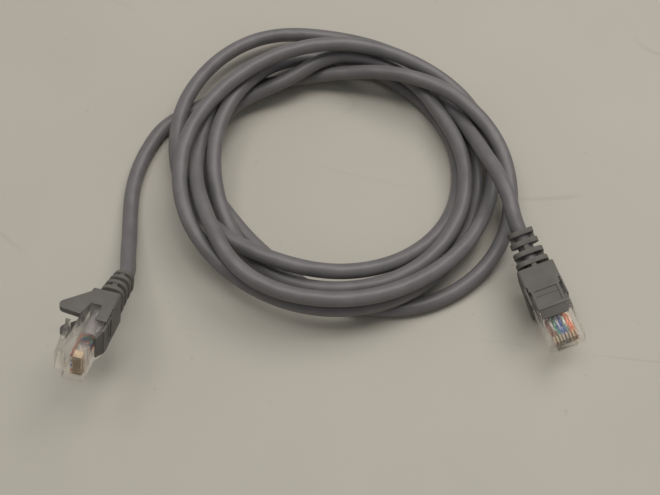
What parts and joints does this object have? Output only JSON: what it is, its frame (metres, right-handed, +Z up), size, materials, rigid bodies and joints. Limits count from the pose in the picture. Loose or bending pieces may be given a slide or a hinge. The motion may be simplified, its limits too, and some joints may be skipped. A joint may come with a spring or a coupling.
{
  "type": "patch cable",
  "caption": "Round twisted-pair patch cable lying in a loose coil, with a clear modular plug and a moulded boot with side ears on each end.",
  "frame": {"origin": "on the table, under the middle of the box that holds both plugs and boots", "axes": "+X from the left plug to the right one, +Y from the plugs to the coil, +Z up from the table"},
  "size_m": [0.1638, 0.1546, 0.0374],
  "materials": {
    "jacket": "satin grey PVC",
    "boot": "soft moulded grey, fine texture",
    "clear_shell": "clear moulded polycarbonate",
    "contact": "gold plated",
    "wire_brown": "satin insulation",
    "wire_green": "satin insulation",
    "wire_blue": "satin insulation",
    "wire_orange": "satin insulation",
    "wire_white_brown": "pale satin insulation with a brown stripe",
    "wire_white_green": "pale satin insulation with a green stripe",
    "wire_white_blue": "pale satin insulation with a blue stripe",
    "wire_white_orange": "pale satin insulation with an orange stripe"
  },
  "bodies": {
    "cable": {"cable_coil": "jacket", "cable_tail_a": "jacket", "cable_tail_b": "jacket", "housing_a": "clear_shell", "contacts_a": "contact", "cord_clamp_a": "clear_shell", "boot_a": "boot", "jacket_end_a": "jacket", "conductor_brown_a": "wire_brown", "conductor_white_brown_a": "wire_white_brown", "conductor_green_a": "wire_green", "conductor_white_blue_a": "wire_white_blue", "conductor_blue_a": "wire_blue", "conductor_white_green_a": "wire_white_green", "conductor_orange_a": "wire_orange", "conductor_white_orange_a": "wire_white_orange", "housing_b": "clear_shell", "contacts_b": "contact", "cord_clamp_b": "clear_shell", "boot_b": "boot", "jacket_end_b": "jacket", "conductor_brown_b": "wire_brown", "conductor_white_brown_b": "wire_white_brown", "conductor_green_b": "wire_green", "conductor_white_blue_b": "wire_white_blue", "conductor_blue_b": "wire_blue", "conductor_white_green_b": "wire_white_green", "conductor_orange_b": "wire_orange", "conductor_white_orange_b": "wire_white_orange"},
    "latch_a": {"latch_a": "clear_shell"},
    "latch_b": {"latch_b": "clear_shell"}
  },
  "joints": [
    {"name": "latch_press_a", "type": "hinge", "parent": "cable", "child": "latch_a", "pos_m": [-0.07671, -0.02519, 0.03161], "axis": [-0.1604, -0.3327, -0.9293], "range_deg": [0, 10], "stiffness_Nm_per_rad": 0.5},
    {"name": "latch_press_b", "type": "hinge", "parent": "cable", "child": "latch_b", "pos_m": [0.07621, -0.00994, 0.00934], "axis": [0.9316, 0.2715, 0.2416], "range_deg": [0, 10], "stiffness_Nm_per_rad": 0.5}
  ]
}
